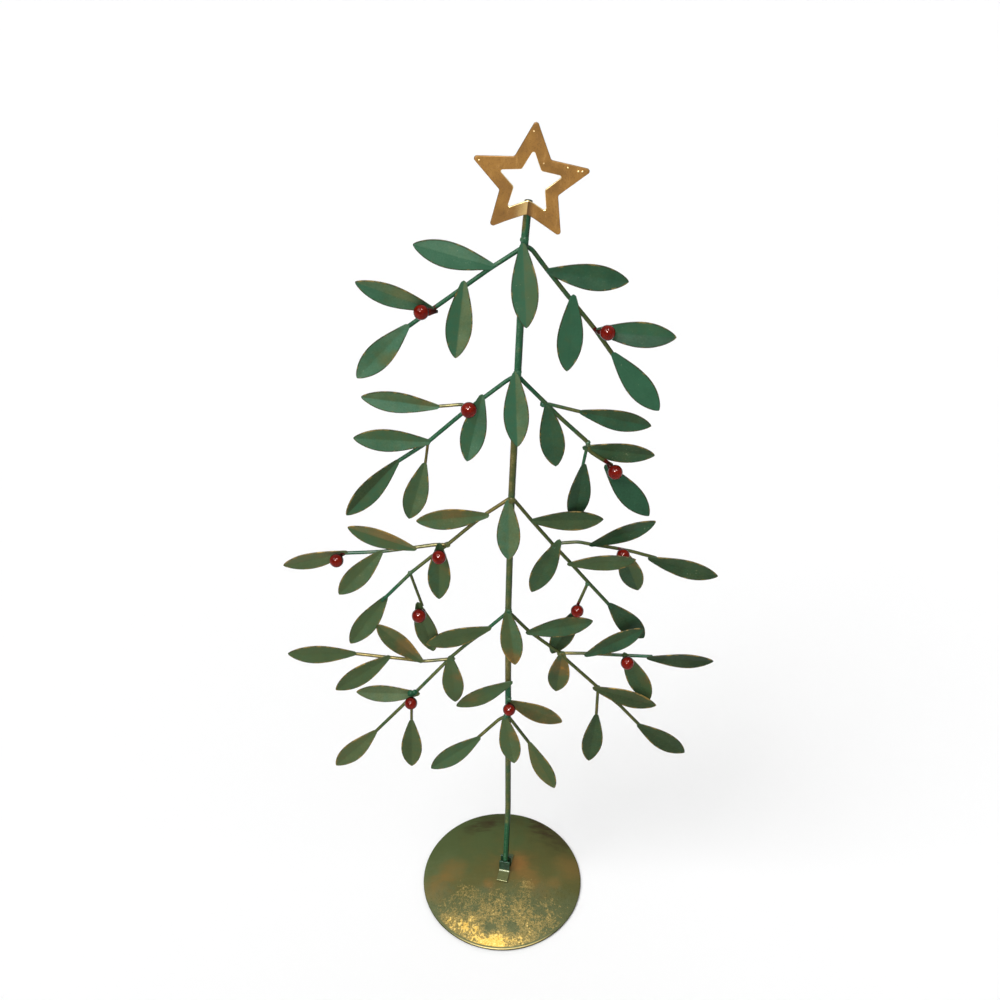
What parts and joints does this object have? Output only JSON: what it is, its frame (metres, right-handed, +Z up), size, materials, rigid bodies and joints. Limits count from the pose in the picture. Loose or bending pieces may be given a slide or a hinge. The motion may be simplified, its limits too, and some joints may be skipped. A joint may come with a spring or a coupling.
{
  "type": "tabletop metal mistletoe tree",
  "caption": "Flat tabletop tree of painted metal: wire branches with folded mistletoe leaves and red bead berries, a pierced gold star on top, on a round domed base.",
  "frame": {"origin": "centre of the round base, on the surface that it stands on", "axes": "+Z up along the rod, +X to the right of someone facing the tree, whose leaves and berries face -Y"},
  "size_m": [0.2924, 0.1266, 0.6043],
  "materials": {
    "base_patina": "satin olive paint over bronze, with a gold speckled patina towards the front rim",
    "stem_green": "satin green paint, rubbed to brown and gold in places",
    "leaf_green": "satin green paint with rubbed gold and brown edges",
    "berry_red": "glossy deep red enamel",
    "star_gold": "satin antique gold with paler rubbed edges"
  },
  "bodies": {
    "root": {"base": "base_patina", "bracket_front": "base_patina", "bracket_rear": "base_patina", "rod": "stem_green", "star": "star_gold", "branch_1_left": "leaf_green", "branch_1_right": "leaf_green", "branch_2_left": "leaf_green", "branch_2_right": "leaf_green", "branch_3_left": "leaf_green", "branch_3_right": "leaf_green", "branch_4_left": "leaf_green", "branch_4_right": "leaf_green", "rod_leaf_1": "leaf_green", "rod_leaf_2": "leaf_green", "rod_leaf_3": "leaf_green", "rod_leaf_4": "leaf_green", "rod_leaf_5_left": "leaf_green", "rod_leaf_5_right": "leaf_green", "sprig_5": "leaf_green", "berry_1_left": "berry_red", "berry_1_right": "berry_red", "berry_2_left": "berry_red", "berry_2_right": "berry_red", "berry_3_left_end": "berry_red", "berry_3_left_joint": "berry_red", "berry_3_left_low": "berry_red", "berry_3_right": "berry_red", "berry_3_right_low": "berry_red", "berry_4_left": "berry_red", "berry_4_right": "berry_red", "berry_5": "berry_red"}
  },
  "joints": []
}
